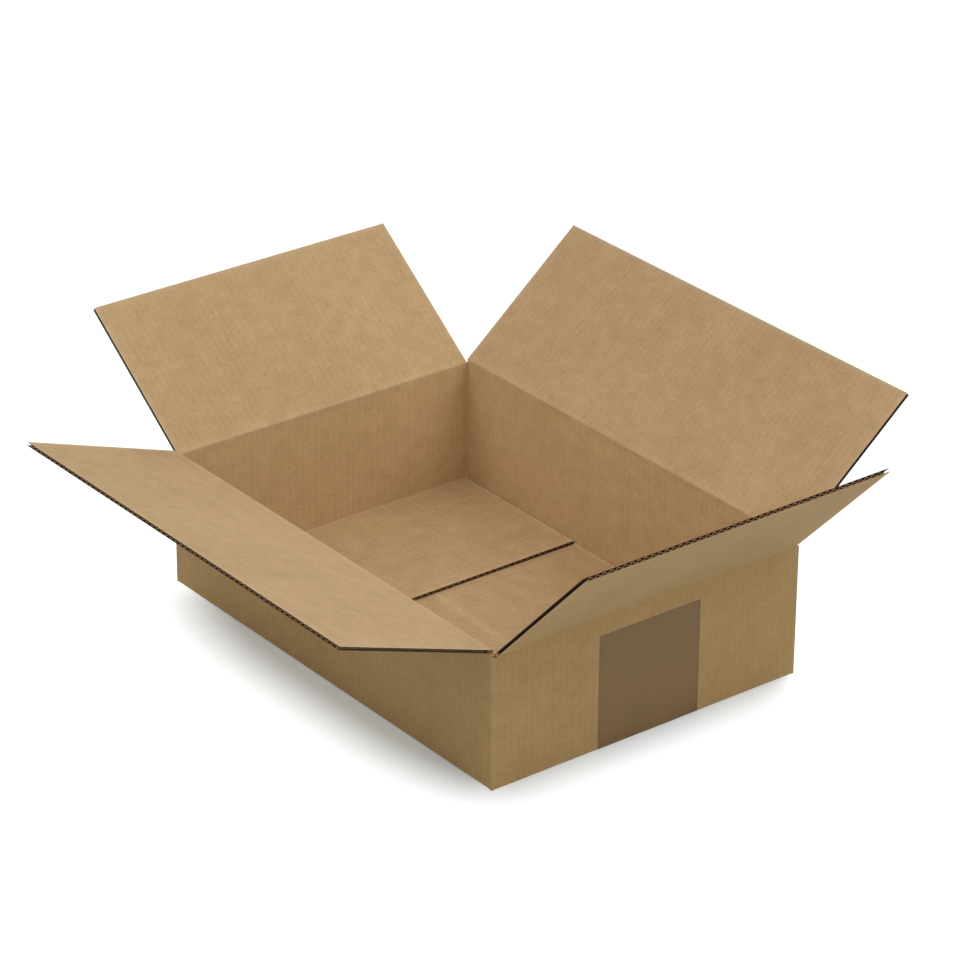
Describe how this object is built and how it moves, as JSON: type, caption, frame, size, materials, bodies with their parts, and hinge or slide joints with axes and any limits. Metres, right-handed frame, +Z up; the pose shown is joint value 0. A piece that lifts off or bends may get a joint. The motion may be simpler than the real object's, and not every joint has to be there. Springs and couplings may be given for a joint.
{
  "type": "open cardboard box",
  "caption": "Shallow open shipping box of thin corrugated board, with hinged top flaps and a taped bottom.",
  "frame": {"origin": "centre of the underside, on the surface the box stands on", "axes": "+X along the box towards its near end, which shows its tape, +Y across towards the back long wall, +Z up out of the box"},
  "size_m": [0.3275, 0.2816, 0.113],
  "materials": {
    "kraft_board": "matte unbleached kraft liner",
    "packing_tape": "brown film, slightly glossy"
  },
  "bodies": {
    "box": {"box_body": "kraft_board", "bottom_tape": "packing_tape"},
    "front_flap": {"front_flap": "kraft_board"},
    "near_end_flap": {"near_end_flap": "kraft_board"},
    "back_flap": {"back_flap": "kraft_board"},
    "far_end_flap": {"far_end_flap": "kraft_board"}
  },
  "joints": [
    {"name": "front_crease", "type": "hinge", "parent": "box", "child": "front_flap", "pos_m": [0, -0.077, 0.0597], "axis": [1, 0, 0], "range_deg": [-160.6, 69.4]},
    {"name": "near_end_crease", "type": "hinge", "parent": "box", "child": "near_end_flap", "pos_m": [0.108, 0, 0.0581], "axis": [0, 1, 0], "range_deg": [-133.7, 96.3]},
    {"name": "back_crease", "type": "hinge", "parent": "box", "child": "back_flap", "pos_m": [0, 0.077, 0.0597], "axis": [-1, 0, 0], "range_deg": [-140.3, 89.7]},
    {"name": "far_end_crease", "type": "hinge", "parent": "box", "child": "far_end_flap", "pos_m": [-0.108, 0, 0.0581], "axis": [0, -1, 0], "range_deg": [-143.6, 86.4]}
  ]
}
